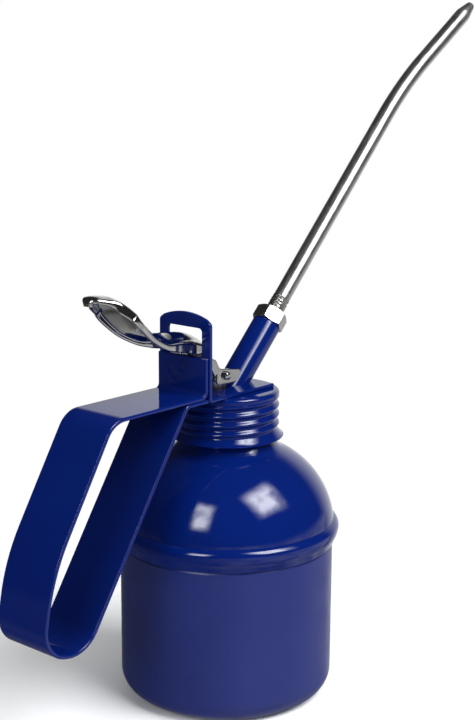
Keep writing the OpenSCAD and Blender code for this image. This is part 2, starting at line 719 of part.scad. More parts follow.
module spout_tube() {
    color(chrome) on_boss() translate([0, 0, tube_start]) {
        tube(tube_r, tube_bore_r, 0, tube_lower_len);
        translate([bend_r, 0, tube_lower_len]) rotate([90, 0, 180])
            rotate_extrude(angle = bend_angle, $fn = 720) translate([bend_r, 0]) difference() {
                circle(r = tube_r);
                circle(r = tube_bore_r);
            }
        translate([bend_r, 0, tube_lower_len]) rotate([0, bend_angle, 0]) translate([-bend_r, 0, 0]) {
            tube(tube_r, tube_bore_r, 0, tube_upper_len);
            translate([0, 0, tube_upper_len]) difference() {
                cylinder(r1 = tube_r, r2 = tip_r, h = tip_len);
                cylinder(r1 = tube_bore_r, r2 = tip_r - tube_wall, h = tip_len);
            }
        }
    }
}

can_body();
can_shoulder();
cap_gasket();
cap();
handle_strap();
lever_bracket();
thumb_lever();
plunger_rod();
plunger_pin();
piston_body();
piston_cup();
piston_nut();
return_spring();
pump_head();
gland_packing();
gland_nut();
pump_barrel();
foot_valve_seat();
foot_valve_ball();
foot_valve_stop();
suction_tube();
suction_strainer();
spout_boss();
outlet_valve_seat();
outlet_valve_ball();
spout_ferrule();
spout_lock_nut();
spout_tube();
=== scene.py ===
import math

import bpy
import bmesh
from mathutils import Matrix, Vector
from mathutils.geometry import tessellate_polygon


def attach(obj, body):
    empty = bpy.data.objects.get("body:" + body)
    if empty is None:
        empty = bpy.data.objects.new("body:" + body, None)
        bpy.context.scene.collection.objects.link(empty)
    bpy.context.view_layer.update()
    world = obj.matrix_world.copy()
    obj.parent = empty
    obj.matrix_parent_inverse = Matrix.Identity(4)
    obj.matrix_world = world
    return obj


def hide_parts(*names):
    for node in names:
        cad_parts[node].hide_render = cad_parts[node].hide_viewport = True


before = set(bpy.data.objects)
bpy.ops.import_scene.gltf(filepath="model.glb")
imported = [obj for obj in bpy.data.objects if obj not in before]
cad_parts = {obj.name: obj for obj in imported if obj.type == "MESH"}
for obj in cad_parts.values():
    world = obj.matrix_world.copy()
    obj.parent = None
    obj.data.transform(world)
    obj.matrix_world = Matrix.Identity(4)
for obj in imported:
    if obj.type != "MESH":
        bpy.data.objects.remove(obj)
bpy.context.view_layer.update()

MM = 0.001
PI = math.pi

# Sizes in millimetres, the same as the CAD's. z counted from the cap's flat top is "on the head".
# The bead and the strap's outermost bend are held a few hundredths inside the CAD's box.
CAN_R, CAN_H, WALL, BASE_R, LAP = 43.0, 63.2, 0.6, 8.5, 5.0
SKIRT_R = CAN_R + 0.05 + WALL
BEAD_OUT, BEAD_H, DOME_R, FILLET_R = 2.4, 8.8, 36.0, 8.0
NECK_R, NECK_H, PITCH, DEPTH = 18.6, 14.8, 3.7, 1.1
DOME_CX, DOME_CZ = SKIRT_R - DOME_R, CAN_H + 4.5
FILLET_CX = NECK_R + FILLET_R
RISE = math.sqrt((DOME_R + FILLET_R) ** 2 - (FILLET_CX - DOME_CX) ** 2)
TURN = math.degrees(math.atan2(RISE, FILLET_CX - DOME_CX))
NECK_Z = DOME_CZ + RISE
NECK_TOP = NECK_Z + NECK_H
CAP_WALL = 0.8
HEAD_Z = NECK_TOP + 0.2 + 1.6 + CAP_WALL
CAP_ROOT = NECK_R + 0.35 + CAP_WALL
CAP_CREST = CAP_ROOT + DEPTH
CAP_H, FLARE = 19.0, 1.8
STRAP_W, STRAP_T, STRAP_GAP = 25.0, 1.5, 0.08
PLATE_X, SILL = -25.1, 17.2
BRACKET_T, BRACKET_W, BRACKET_H, ARCH = 1.5, 26.2, 31.0, 3.1
PUMP_X, PIN_Z, PIN_R = -8.0, 7.2, 1.2
LEVER_T, SWING = 1.2, 18.0
BOSS_X, BOSS_A, BOSS_R, BOSS_LEN = 2.3, 44.6, 5.9, 31.3
NUT_AF, NUT_H, NUT_TURN, FERRULE_R, FERRULE_IN, FERRULE_SHOW = 12.0, 6.0, 20.5, 3.7, 9.0, 7.6
TUBE_R, TUBE_WALL, TUBE_LOW, BEND_R, BEND_A, TUBE_UP = 3.5, 0.7, 100.7, 180.0, 12.1, 38.0
TIP_LEN, TIP_R = 8.0, 2.0
WINDOW_W, WINDOW_H, WINDOW_CORNER = 17.4, 11.2, 1.5
TAIL_HALF_W = 7.0
PUMP_HEAD_R, SPIGOT_R = 7.4, 4.6
RUN_GAP = 0.05
TUBE_START = BOSS_LEN + NUT_H + FERRULE_SHOW


# ---------------------------------------------------------------- shapes

def arc(cx, cy, r, a0, a1, n):
    steps = [math.radians(a0 + (a1 - a0) * i / n) for i in range(n + 1)]
    return [(cx + r * math.cos(a), cy + r * math.sin(a)) for a in steps]


def catmull(points, steps):
    """A smooth curve through the points, which may have any number of coordinates."""
    n, out = len(points) - 1, []
    for i in range(n):
        a, b, c, d = points[max(i - 1, 0)], points[i], points[i + 1], points[min(i + 2, n)]
        for k in range(steps):
            t = k / steps
            out.append(tuple(
                0.5 * (2 * q + (r - p) * t + (2 * p - 5 * q + 4 * r - s) * t * t
                       + (3 * q - p - 3 * r + s) * t ** 3)
                for p, q, r, s in zip(a, b, c, d)))
    return out + [tuple(points[n])]


def rounded_path(corners, step=4.0):
    """A path through corners (x, z, radius), each rounded by its own arc."""
    out = [Vector(corners[0][:2])]
    for i in range(1, len(corners) - 1):
        p = Vector(corners[i][:2])
        u = (Vector(corners[i - 1][:2]) - p).normalized()
        v = (Vector(corners[i + 1][:2]) - p).normalized()
        r, half = corners[i][2], math.acos(u.dot(v)) / 2
        centre = p + (u + v).normalized() * r / math.sin(half)
        s, e = p + u * r / math.tan(half) - centre, p + v * r / math.tan(half) - centre
        a0 = math.atan2(s.y, s.x)
        turn = math.atan2(s.x * e.y - s.y * e.x, s.dot(e))
        n = max(4, math.ceil(abs(math.degrees(turn)) / step))
        angles = [a0 + turn * k / n for k in range(n + 1)]
        out += [centre + r * Vector((math.cos(a), math.sin(a))) for a in angles]
    return out + [Vector(corners[-1][:2])]


def densify(path, longest):
    out = [path[0]]
    for p in path[1:]:
        n = max(1, math.ceil((p - out[-1]).length / longest))
        start = out[-1]
        out += [start.lerp(p, k / n) for k in range(1, n + 1)]
    return out


def side_of(path, i):
    t = (path[min(i + 1, len(path) - 1)] - path[max(i - 1, 0)]).normalized()
    return Vector((-t.y, t.x))


def beside(path, d):
    pts = [Vector(p) for p in path]
    return [tuple(pts[i] + d * side_of(pts, i)) for i in range(len(pts))]


def smoothstep(x, lo, hi):
    t = min(1.0, max(0.0, (x - lo) / (hi - lo)))
    return t * t * (3 - 2 * t)


def rounded_end(p, q, n=4):
    """Points of a half circle from p to q, turning to the right of p to q."""
    p, q = Vector(p), Vector(q)
    c, h = (p + q) / 2, (p - q) / 2
    side = Vector((h.y, -h.x))
    return [tuple(c + h * math.cos(PI * k / n) - side * math.sin(PI * k / n)) for k in range(1, n)]


class Build:
    """Vertices in millimetres and faces, collected into one piece."""

    def __init__(self):
        self.verts, self.faces = [], []

    def grid(self, rings, wrap_ring=True, wrap_rows=False, cap_ends=False):
        base, n, m = len(self.verts), len(rings[0]), len(rings)
        for ring in rings:
            self.verts += [tuple(p) for p in ring]
        for i in range(m if wrap_rows else m - 1):
            j = (i + 1) % m
            for k in range(n if wrap_ring else n - 1):
                l = (k + 1) % n
                self.faces.append((base + i * n + k, base + i * n + l, base + j * n + l, base + j * n + k))
        if cap_ends:
            self.faces.append(tuple(base + k for k in reversed(range(n))))
            self.faces.append(tuple(base + (m - 1) * n + k for k in range(n)))

    def lathe(self, profile, n=160, place=None):
        """Turns a closed profile of (radius, z), or of functions of the angle, about Z."""
        rings = []
        for i in range(n):
            a = 2 * PI * i / n
            ring = []
            for p in profile:
                r, z = p(a) if callable(p) else p
                ring.append((r * math.cos(a), r * math.sin(a), z))
            rings.append(ring)
        if place:
            rings = [[place(q) for q in ring] for ring in rings]
        self.grid(rings, wrap_ring=True, wrap_rows=True)

    def plate(self, outer, holes, thick, edge, place, steps=3):
        """A flat plate with rounded edges: outlines counter-clockwise, in the plate's own (u, v)."""
        levels = []
        for side in (-1, 1):
            for k in range(steps + 1):
                f = PI / 2 * k / steps
                levels.append((edge * (1 - math.cos(f)), side * (thick / 2 - edge + edge * math.sin(f))))
        levels = list(reversed(levels[:steps + 1])) + levels[steps + 1:]
        caps = {}
        for outline, inward in [(outer, 1)] + [(h, -1) for h in holes]:
            pts, n = [Vector(p) for p in outline], len(outline)
            normals = []
            for i in range(n):
                e1, e2 = (pts[i] - pts[i - 1]).normalized(), (pts[(i + 1) % n] - pts[i]).normalized()
                n1, n2 = Vector((-e1.y, e1.x)), Vector((-e2.y, e2.x))
                m = n1 + n2
                normals.append(m / max(0.3, 1 + n1.dot(n2)))
            rings = [[pts[i] + inward * inset * normals[i] for i in range(n)] for inset, w in levels]
            base = len(self.verts)
            self.grid([[place((p.x, p.y, levels[j][1])) for p in ring] for j, ring in enumerate(rings)])
            for j in (0, len(levels) - 1):
                caps.setdefault(j, []).append(([base + j * n + i for i in range(n)], rings[j]))
        for j, loops in caps.items():
            index = [i for ids, ring in loops for i in ids]
            for tri in tessellate_polygon([[Vector((p.x, p.y, 0)) for p in ring] for ids, ring in loops]):
                self.faces.append(tuple(index[t] for t in tri))

    def make(self, name, body, nodes, material, sharp=35, weighted=True, cut=()):
        mesh = bpy.data.meshes.new(name)
        mesh.from_pydata([(x * MM, y * MM, z * MM) for x, y, z in self.verts], [], self.faces)
        bm = bmesh.new()
        bm.from_mesh(mesh)
        bmesh.ops.remove_doubles(bm, verts=bm.verts, dist=1e-7)
        bmesh.ops.delete(bm, geom=[e for e in bm.edges if not e.link_faces], context="EDGES")
        bmesh.ops.recalc_face_normals(bm, faces=bm.faces)
        bm.to_mesh(mesh)
        bm.free()
        piece = bpy.data.objects.new(name, mesh)
        bpy.context.scene.collection.objects.link(piece)
        for cutter in cut:
            mod = piece.modifiers.new("cut", "BOOLEAN")
            mod.operation, mod.solver, mod.object = "DIFFERENCE", "EXACT", cutter
        if cut:
            depsgraph = bpy.context.evaluated_depsgraph_get()
            mesh = bpy.data.meshes.new_from_object(piece.evaluated_get(depsgraph))
            mesh.name = name
            piece.modifiers.clear()
            piece.data = mesh
        mesh.materials.clear()
        mesh.materials.append(material)
        mesh.shade_smooth()
        mesh.set_sharp_from_angle(angle=math.radians(sharp))
        if weighted:
            mod = piece.modifiers.new("weighted", "WEIGHTED_NORMAL")
            mod.keep_sharp = True
        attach(piece, body)
        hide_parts(*nodes)
        return piece


def cylinder_cutter(radius, low, high, place):
    build = Build()
    ring = arc(0, 0, radius, 0, 360 - 360 / 96, 95)
    build.grid([[place((x, y, z)) for x, y in ring] for z in (low, high)], cap_ends=True)
    mesh = bpy.data.meshes.new("cutter")
    mesh.from_pydata([(x * MM, y * MM, z * MM) for x, y, z in build.verts], [], build.faces)
    bm = bmesh.new()
    bm.from_mesh(mesh)
    bmesh.ops.recalc_face_normals(bm, faces=bm.faces)
    bm.to_mesh(mesh)
    bm.free()
    cutter = bpy.data.objects.new("cutter", mesh)
    bpy.context.scene.collection.objects.link(cutter)
    return cutter


def on_head(p):
    return (p[0], p[1], p[2] + HEAD_Z)


COS_B, SIN_B = math.cos(math.radians(BOSS_A)), math.sin(math.radians(BOSS_A))


def on_boss(p):
    x, y, z = p
    return (BOSS_X + x * COS_B + z * SIN_B, y, HEAD_Z - x * SIN_B + z * COS_B)


def on_pump(p):
    return (p[0] + PUMP_X, p[1], p[2] + HEAD_Z)


# ---------------------------------------------------------------- finishes

def nodes_of(name):
    mat = bpy.data.materials.new(name)
    mat.use_nodes = True
    tree = mat.node_tree
    shader = tree.nodes["Principled BSDF"]
    coords = tree.nodes.new("ShaderNodeTexCoord")
    return mat, tree, shader, coords.outputs["Object"]


def noise(tree, vector, scale, detail=2.0, rough=0.5, stretch=None):
    if stretch:
        for kind, value in (("Rotation", stretch[1]), ("Scale", stretch[0])):
            mapping = tree.nodes.new("ShaderNodeMapping")
            mapping.inputs[kind].default_value = value
            tree.links.new(vector, mapping.inputs["Vector"])
            vector = mapping.outputs["Vector"]
    node = tree.nodes.new("ShaderNodeTexNoise")
    node.inputs["Scale"].default_value = scale
    node.inputs["Detail"].default_value = detail
    node.inputs["Roughness"].default_value = rough
    tree.links.new(vector, node.inputs["Vector"])
    return node.outputs["Fac"]


def ramp(tree, value, lo, hi, out_lo=0.0, out_hi=1.0):
    node = tree.nodes.new("ShaderNodeMapRange")
    node.inputs["From Min"].default_value = lo
    node.inputs["From Max"].default_value = hi
    node.inputs["To Min"].default_value = out_lo
    node.inputs["To Max"].default_value = out_hi
    tree.links.new(value, node.inputs["Value"])
    return node.outputs["Result"]


def blend_colour(tree, fac, a, b):
    node = tree.nodes.new("ShaderNodeMix")
    node.data_type = "RGBA"
    tree.links.new(fac, node.inputs["Factor"])
    for key, value in (("A", a), ("B", b)):
        socket = [s for s in node.inputs if s.name == key and s.type == "RGBA"][0]
        if isinstance(value, tuple):
            socket.default_value = (*value, 1.0)
        else:
            tree.links.new(value, socket)
    return [s for s in node.outputs if s.type == "RGBA"][0]


def add(tree, a, b, operation="ADD"):
    node = tree.nodes.new("ShaderNodeMath")
    node.operation = operation
    for socket, value in zip(node.inputs, (a, b)):
        if isinstance(value, (int, float)):
            socket.default_value = value
        else:
            tree.links.new(value, socket)
    return node.outputs[0]


def bump(tree, shader, heights):
    """heights is a list of (height output, strength, distance), laid over each other."""
    last = None
    for height, strength, distance in heights:
        node = tree.nodes.new("ShaderNodeBump")
        node.inputs["Strength"].default_value = strength
        node.inputs["Distance"].default_value = distance
        tree.links.new(height, node.inputs["Height"])
        if last:
            tree.links.new(last, node.inputs["Normal"])
        last = node.outputs["Normal"]
    tree.links.new(last, shader.inputs["Normal"])
    return last


def enamel(name, dark, light, rough, base_gloss, coat, coat_rough, peel):
    """Sprayed enamel: slow colour drift, orange peel, dust nibs and a rubbed haze."""
    mat, tree, shader, co = nodes_of(name)
    drift = ramp(tree, noise(tree, co, 24, 3), 0.3, 0.7)
    body = blend_colour(tree, drift, dark, light)
    nibs = ramp(tree, noise(tree, co, 2600, 1), 0.74, 0.8)
    rubbed = tuple(min(1.0, c * 1.3 + 0.006) for c in light)
    tree.links.new(blend_colour(tree, nibs, body, rubbed), shader.inputs["Base Color"])
    haze = ramp(tree, noise(tree, co, 90, 6, 0.6), 0.3, 0.75, rough[0], rough[1])
    tree.links.new(add(tree, haze, ramp(tree, nibs, 0, 1, 0, 0.12)), shader.inputs["Roughness"])
    shader.inputs["IOR"].default_value = 1.5
    shader.inputs["Specular IOR Level"].default_value = base_gloss
    shader.inputs["Coat Weight"].default_value = coat
    shader.inputs["Coat Roughness"].default_value = coat_rough
    normal = bump(tree, shader, [(noise(tree, co, 520, 2), peel, 0.0001), (nibs, 0.15, 0.00004),
                                 (noise(tree, co, 70, 2), peel, 0.0004)])
    tree.links.new(normal, shader.inputs["Coat Normal"])
    return mat


def plated(name, dark, light, rough, wave, grain=None, grain_bump=0.0, anisotropic=0.0):
    """Bright plating: faint cloudiness, smudges, sheet waviness and, where drawn or turned, fine lines."""
    mat, tree, shader, co = nodes_of(name)
    shader.inputs["Metallic"].default_value = 1.0
    cloud = ramp(tree, noise(tree, co, 60, 5, 0.6), 0.32, 0.7)
    tree.links.new(blend_colour(tree, cloud, dark, light), shader.inputs["Base Color"])
    smudge = ramp(tree, noise(tree, co, 150, 6, 0.65), 0.35, 0.75, rough[0], rough[1])
    layers = [(noise(tree, co, 45, 2), wave, 0.0006)]
    if grain:
        lines = noise(tree, co, 1.0, 4, 0.7, grain)
        smudge = add(tree, smudge, ramp(tree, lines, 0.4, 0.8, 0, 0.08))
        layers.append((lines, grain_bump, 0.00005))
    scratches = ramp(tree, noise(tree, co, 1.0, 2, 0.5, ((60, 2600, 300), (0.6, 0.3, 0.2))), 0.7, 0.78)
    layers.append((scratches, 0.04, 0.00002))
    tree.links.new(smudge, shader.inputs["Roughness"])
    shader.inputs["Anisotropic"].default_value = anisotropic
    bump(tree, shader, layers)
    return mat


def plain(name, dark, light, rough, scale, depth):
    """Rubber, leather or packing: mottled colour, varied roughness and a small surface texture."""
    mat, tree, shader, co = nodes_of(name)
    mottle = ramp(tree, noise(tree, co, scale, 6, 0.65), 0.3, 0.7)
    tree.links.new(blend_colour(tree, mottle, dark, light), shader.inputs["Base Color"])
    tree.links.new(ramp(tree, noise(tree, co, scale * 2, 4), 0.3, 0.7, *rough), shader.inputs["Roughness"])
    bump(tree, shader, [(noise(tree, co, scale * 3, 4), depth, 0.0002)])
    return mat


ALONG_BOSS = ((900, 900, 14), (0, math.radians(-BOSS_A), 0))
AROUND = ((120, 120, 2600), (0, 0, 0))
BODY_PAINT = enamel("body_enamel", (0.0045, 0.0115, 0.105), (0.006, 0.0145, 0.125), (0.34, 0.5),
                    base_gloss=0.35, coat=0.2, coat_rough=0.25, peel=0.1)
GLOSS_PAINT = enamel("gloss_enamel", (0.0008, 0.0076, 0.088), (0.0011, 0.0094, 0.104), (0.3, 0.42),
                     base_gloss=0.0, coat=1.0, coat_rough=0.055, peel=0.05)
LEVER_CHROME = plated("lever_plating", (0.5, 0.5, 0.5), (0.62, 0.62, 0.61), (0.06, 0.14), 0.12)
SPOUT_CHROME = plated("spout_plating", (0.52, 0.525, 0.53), (0.62, 0.625, 0.63), (0.26, 0.36), 0.015,
                      ALONG_BOSS, 0.03)
ZINC = plated("zinc_plating", (0.5, 0.51, 0.5), (0.64, 0.65, 0.64), (0.16, 0.3), 0.05, AROUND, 0.15)
THREAD = plated("thread_zinc", (0.42, 0.42, 0.4), (0.54, 0.54, 0.51), (0.3, 0.4), 0.01)
STEEL = plated("polished_steel", (0.45, 0.45, 0.46), (0.56, 0.56, 0.58), (0.1, 0.22), 0.03)
BRASS = plated("turned_brass", (0.6, 0.42, 0.17), (0.74, 0.55, 0.27), (0.18, 0.34), 0.03, AROUND, 0.25)
RUBBER = plain("seal_rubber", (0.02, 0.02, 0.02), (0.045, 0.045, 0.045), (0.6, 0.85), 300, 0.3)
LEATHER = plain("oiled_leather", (0.16, 0.08, 0.035), (0.3, 0.17, 0.08), (0.45, 0.7), 500, 0.5)
PACKING = plain("waxed_packing", (0.4, 0.35, 0.24), (0.62, 0.56, 0.42), (0.6, 0.85), 900, 0.6)


# ---------------------------------------------------------------- can

def can_body():
    """The can, with a shallow groove in its wall just under the shoulder's skirt."""
    cx = CAN_R - BASE_R
    groove = [(0, -1.5), (-0.1, -1.2), (-0.4, -0.7), (-0.5, -0.2), (-0.5, LAP)]
    outer = arc(cx, BASE_R, BASE_R, -90, 0, 20) + [(CAN_R, z) for z in (20, 35, 50)]
    outer += [(CAN_R + dr, CAN_H + dz) for dr, dz in groove]
    inner = arc(cx, BASE_R, BASE_R - WALL, -90, 0, 20)
    inner += [(CAN_R - WALL + dr, CAN_H + dz) for dr, dz in groove]
    floor_out = [(0, 0), (12, 0), (24, 0)]
    floor_in = [(0, WALL), (12, WALL), (24, WALL)]
    build = Build()
    build.lathe(floor_out + outer + list(reversed(floor_in + inner)), 192)
    return build.make("oil_can_body", "can", ["can_body"], BODY_PAINT)


def thread_wave(a, z, crest_z):
    return 0.5 + 0.5 * math.cos(2 * PI * ((z - crest_z) / PITCH - a / (2 * PI)))


def threaded(root, z, crest_z, fade):
    """A row of a rolled thread: a function of the angle. fade is 1 on the thread and 0 off it."""
    return lambda a: (root + DEPTH * fade * thread_wave(a, z, crest_z), z)


def can_shoulder():
    r, b, h = SKIRT_R - WALL / 2, BEAD_OUT - WALL / 2 - 0.04, BEAD_H
    skirt = catmull([(r, CAN_H), (r + 0.36 * b, CAN_H + 0.22 * h), (r + 0.72 * b, CAN_H + 0.42 * h),
                     (r + 0.9 * b, CAN_H + 0.63 * h), (r + 0.8 * b, CAN_H + 0.8 * h),
                     (r + 0.4 * b, CAN_H + 0.93 * h)], 6)
    dome = arc(DOME_CX, DOME_CZ, DOME_R - WALL / 2, 7, TURN, 48)
    fillet = arc(FILLET_CX, NECK_Z, FILLET_R + WALL / 2, 180 + TURN, 180, 16)
    path = skirt + dome + fillet[1:]
    root, rows = NECK_R - DEPTH, 76
    top = NECK_TOP - 1.4
    crest = NECK_Z + 1.85

    def neck(offset):
        out = []
        for i in range(rows + 1):
            z = NECK_Z + 0.2 + (top - NECK_Z - 0.2) * i / rows
            fade = smoothstep(z, NECK_Z + 0.2, NECK_Z + 2.4) * (1 - smoothstep(z, top - 1.2, top))
            start = (1 - smoothstep(z, NECK_Z + 0.2, NECK_Z + 2.4)) * DEPTH
            out.append(threaded(root + offset + start, z, crest, fade))
        return out

    lip = [(root + 0.4, NECK_TOP - 0.5), (root + 0.3, NECK_TOP - 0.1), (root, NECK_TOP)]
    lip_in = [(root - WALL, NECK_TOP - 0.1), (root - WALL, NECK_TOP - 0.5)]
    outer, inner = beside(path, -WALL / 2), beside(path, WALL / 2)
    build = Build()
    skin_in = list(reversed(inner + neck(-WALL)))
    build.lathe(outer + neck(0) + lip + lip_in + skin_in + rounded_end(inner[0], outer[0]), 256)
    return build.make("oil_can_shoulder", "can", ["can_shoulder"], GLOSS_PAINT, sharp=38)


# ---------------------------------------------------------------- head

def cap():
    corner, bottom = 1.6, -CAP_H
    crest_z, flare_top = -corner - 0.4, -CAP_H + 3
    rows = 84

    def side(offset):
        out = []
        for i in range(rows + 1):
            z = -corner - (CAP_H - 3 - corner) * i / rows
            fade = (1 - smoothstep(z, -3.0, -1.7)) * smoothstep(z, flare_top - 0.1, flare_top + 1.5)
            hold = smoothstep(z, -3.0, -1.7) + 0.45 * (1 - smoothstep(z, flare_top - 0.1, flare_top + 1.5))
            out.append(threaded(CAP_ROOT + offset + DEPTH * hold, z, crest_z, fade))
        return out

    def skirt(offset):
        pts = catmull([(CAP_ROOT + 0.45 * DEPTH, flare_top), (CAP_CREST + 0.3 * FLARE, bottom + 1.4),
                       (CAP_CREST + 0.75 * FLARE, bottom + 0.55),
                       (CAP_CREST + FLARE - 0.05, bottom + 0.35)], 5)
        return [(r + offset, z) for r, z in pts[1:]]

    top_r = CAP_CREST - corner
    outer = [(0, 0), (8, 0), (15, 0)] + arc(top_r, -corner, corner, 90, 0, 10)
    outer += side(0)[1:] + skirt(0)
    inner = [(0, -CAP_WALL), (8, -CAP_WALL), (15, -CAP_WALL)]
    inner += arc(top_r, -corner, corner - CAP_WALL, 90, 0, 10) + side(-CAP_WALL)[1:] + skirt(-CAP_WALL)
    build = Build()
    build.lathe(outer + rounded_end(inner[-1], outer[-1])[::-1] + inner[::-1], 256, on_head)
    return build.make("screwed_cap", "head", ["cap"], GLOSS_PAINT, sharp=38,
                      weighted=False, cut=HOLES)


# The strap's corners (x, z, radius), and its three weld marks (y, z) on the front plate.
STRAP_TOP = 1.5 * STRAP_T + STRAP_GAP
STRAP_CORNERS = [(PLATE_X - STRAP_T / 2, SILL), (PLATE_X - STRAP_T / 2, STRAP_TOP, 2.5),
                 (-75.2, STRAP_TOP, 10), (-105.4, -46.9, 70), (-110.39, -75.1, 11),
                 (-90.4, -80.5, 13), (-36.6, STRAP_T / 2, 3), (PLATE_X - 0.1, STRAP_T / 2)]
WELDS = [(6.4, 11.2), (0.4, 12.3), (4.1, 9.0)]


def strip(build, path, width, thick, edge, dent=None):
    """A flat strip swept along a path in X and Z, with rounded edges and ends."""
    across = 44

    def section(inset):
        w, t, e = width / 2 - inset, thick / 2 - inset, max(edge - inset, 0.02)
        flat = [-(w - e) + 2 * (w - e) * k / across for k in range(across + 1)]
        upper = [(y, t) for y in flat]
        right = [(w - e + e * math.sin(PI * k / 8), e * math.cos(PI * k / 8) * (t / e)) for k in range(1, 8)]
        lower = [(-y, -t) for y in flat]
        return upper + right + lower + [(-y, -z) for y, z in right]

    rings = []
    last = len(path) - 1
    for i, p in enumerate(path):
        side = side_of(path, i)
        t = Vector((side.y, -side.x))
        ends = []
        if i in (0, last):
            order = [90 - 22.5 * k for k in range(5)]
            for f in (reversed(order) if i == 0 else order):
                a = math.radians(f)
                inward = 1 if i == 0 else -1
                ends.append((edge * (1 - math.cos(PI / 2 - a)) * inward, edge * (1 - math.sin(a))))
        else:
            ends.append((0.0, 0.0))
        for along, inset in ends:
            q = p + t * along
            ring = []
            for y, n in section(inset):
                push = dent(q, y, n) if dent else 0.0
                at = q + side * (n + push)
                ring.append((at.x, y, at.y + HEAD_Z))
            rings.append(ring)
    build.grid(rings, cap_ends=True)


def handle_strap():
    path = rounded_path(STRAP_CORNERS, 3.0)
    top = densify(path[:2], 0.45)
    path = top + densify(path[1:], 4.0)[1:]

    def dent(q, y, n):
        if n >= 0 or abs(q.x - PLATE_X + STRAP_T / 2) > 0.01:
            return 0.0
        return 0.4 * sum(math.exp(-((y - wy) ** 2 + (q.y - wz) ** 2) / 2.0) for wy, wz in WELDS)

    build = Build()
    strip(build, path, STRAP_W, STRAP_T, 0.42, dent)
    return build.make("handle_band", "head", ["handle_strap"], GLOSS_PAINT)


def lever_bracket():
    half_w, low = BRACKET_W / 2, BRACKET_T
    top_r = (half_w ** 2 + ARCH ** 2) / (2 * ARCH)
    arch_half = math.degrees(math.asin(half_w / top_r))
    corner = 2.0
    outline = ([(-half_w, low), (half_w, low)]
               + arc(half_w - corner, BRACKET_H - corner + 0.4, corner, 0, 90 - arch_half, 8)
               + arc(0, BRACKET_H + ARCH - top_r, top_r, 90 - 0.82 * arch_half, 90 + 0.82 * arch_half, 28)
               + arc(corner - half_w, BRACKET_H - corner + 0.4, corner, 90 + arch_half, 180, 8))
    w, h, r = WINDOW_W / 2, WINDOW_H, WINDOW_CORNER
    window = ([(-w, SILL), (w, SILL)] + arc(w - r, SILL + h - r, r, 0, 90, 8)
              + arc(r - w, SILL + h - r, r, 90, 180, 8))
    mid = PLATE_X + BRACKET_T / 2
    build = Build()
    build.plate(outline, [window], BRACKET_T, 0.35, lambda p: (mid + p[2], p[0], HEAD_Z + p[1]))
    foot_z = BRACKET_T / 2
    foot_end = BOSS_X + BRACKET_T * math.tan(math.radians(BOSS_A)) + (BOSS_R + RUN_GAP) / COS_B + 1.2
    foot = rounded_path([(mid, low + 0.4), (mid, foot_z, foot_z + 0.01), (foot_end, foot_z)], 10)
    strip(build, foot, BRACKET_W, BRACKET_T, 0.35)
    return build.make("window_bracket", "head", ["lever_bracket"], GLOSS_PAINT, cut=HOLES)


# Stations along the top of the lever's web: x, z, half width, flange depth and crown.
LEVER_STATIONS = [
    (-76.6, 42.5, 1.8, 2, 0.1), (-76.2, 44.5, 2.8, 2, 0.2), (-74, 45.8, 4.2, 2.2, 0.4),
    (-69.7, 45.6, 5.9, 2.6, 0.8), (-65.1, 44.6, 8, 4.2, 1.2), (-59.6, 40.8, 9.6, 4, 1.5),
    (-56.8, 37.4, 10.5, 3.4, 1.6), (-51.4, 32.6, 9.9, 3, 1.8), (-47.2, 30.2, 9.2, 2.9, 2.2),
    (-41, 28.2, 8.2, 3.2, 2.8), (-35.5, 27.6, 7.2, 4.2, 2.8), (-30, 27, 6.8, 4.6, 2.8),
    (-26.2, 26.3, 7, 5.2, 2.6), (-22.4, 24.8, 7, 5, 2.2), (-19, 22.6, 7, 4.2, 1.6),
    (-16.8, 18.8, 7, 3.4, 0.8), (-14.6, 14, 7, 3.2, 0.3), (-12.4, 9.8, 7, 3.2, 0.1)]


def lever_section(half_w, depth, crown):
    """Closed outline (out, down) of the channel: outer skin, rounded rims and inner skin."""
    depth += crown

    def half(inset):
        r = 1.6 - inset * 0.9
        w = half_w - inset
        flat = w - r
        deep = max(depth - LEVER_T / 2, crown + inset + r + 0.1)
        pts = [(flat * k / 8, crown * (k / 8) ** 2 + inset) for k in range(8)]
        pts += [(flat + r * math.sin(f), crown + inset + r * (1 - math.cos(f)))
                for f in (math.radians(11.25 * k) for k in range(9))]
        start = pts[-1][1]
        return pts + [(w, start + (deep - start) * k / 3) for k in range(1, 4)]

    outer, inner = half(0.0), half(LEVER_T)
    right = outer + rounded_end(outer[-1], inner[-1], 6) + inner[::-1]
    left = [(-x, y) for x, y in reversed(right)]
    return right + left[1:-1]


def fork_outline():
    return [(-17.6, 15.5), (-14.4, 14.6), (-12.2, 10.6), (-1, 8.9), (0.2, 8), (-1.8, 4.6), (-3.2, 3.8),
            (-12.4, 3.8), (-14, 5.2), (-13.6, 9.6)]


def soften(outline, radius, n=5):
    """Rounds the corners of a closed outline."""
    out = []
    pts = [Vector(p) for p in outline]
    for i, p in enumerate(pts):
        a, b = pts[i - 1] - p, pts[(i + 1) % len(pts)] - p
        cut = min(radius, 0.42 * a.length, 0.42 * b.length)
        s, e = p + a.normalized() * cut, p + b.normalized() * cut
        for k in range(n + 1):
            t = k / n
            out.append(tuple((1 - t) ** 2 * s + 2 * t * (1 - t) * p + t * t * e))
    return out


